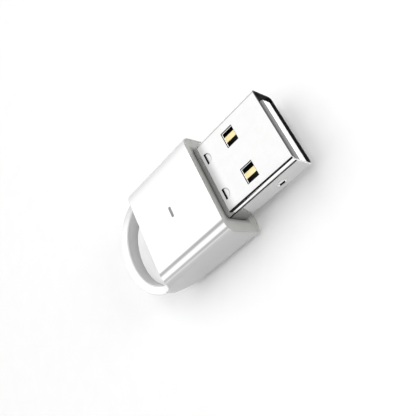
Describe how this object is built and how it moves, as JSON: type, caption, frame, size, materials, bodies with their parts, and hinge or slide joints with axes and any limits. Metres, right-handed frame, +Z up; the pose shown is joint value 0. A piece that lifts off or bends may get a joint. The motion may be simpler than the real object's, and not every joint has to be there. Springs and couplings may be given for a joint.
{
  "type": "wireless audio receiver stick",
  "caption": "Small white wireless audio receiver stick with a USB-A plug, a rounded sleeve, a slim indicator window and a strap loop at the back.",
  "frame": {"origin": "on the flat underside, below the middle of the overall length and width", "axes": "+X to the plug's tip, +Y to the left seen from behind, +Z up through the indicator window"},
  "size_m": [0.0344, 0.0164, 0.008],
  "materials": {
    "white_shell": "smooth white moulding, satin gloss",
    "cap_grey": "light warm grey moulding, fine texture",
    "clear_bar": "smoky clear light bar",
    "plug_steel": "nickel-plated stamped sheet",
    "tongue_white": "white connector plastic",
    "carrier_black": "black connector plastic",
    "contact_gold": "gold-plated spring strip",
    "board": "solder mask over glass epoxy",
    "chip_black": "black moulded package",
    "crystal_can": "metal lid",
    "antenna_ceramic": "white ceramic block",
    "led": "clear indicator package",
    "ferrite": "dark ferrite body",
    "fuse_green": "green coated body",
    "capacitor_tan": "tan ceramic with tinned ends",
    "resistor_black": "black top, tinned ends",
    "solder": "tinned, smooth",
    "foam": "closed-cell foam"
  },
  "bodies": {
    "root": {"housing_sleeve": "white_shell", "front_cap": "cap_grey", "light_pipe": "clear_bar", "plug_shell": "plug_steel", "tongue_nose": "tongue_white", "contact_carrier": "carrier_black", "contact_power": "contact_gold", "contact_data_minus": "contact_gold", "contact_data_plus": "contact_gold", "contact_ground": "contact_gold", "circuit_board": "board", "board_pad": "foam", "radio_chip": "chip_black", "memory_chip": "chip_black", "crystal": "crystal_can", "chip_antenna": "antenna_ceramic", "status_led": "led", "voltage_regulator": "chip_black", "power_inductor": "ferrite", "surge_array": "chip_black", "reset_fuse": "fuse_green", "capacitors": "capacitor_tan", "resistors": "resistor_black", "contact_solder": "solder", "shell_solder": "solder"}
  },
  "joints": []
}
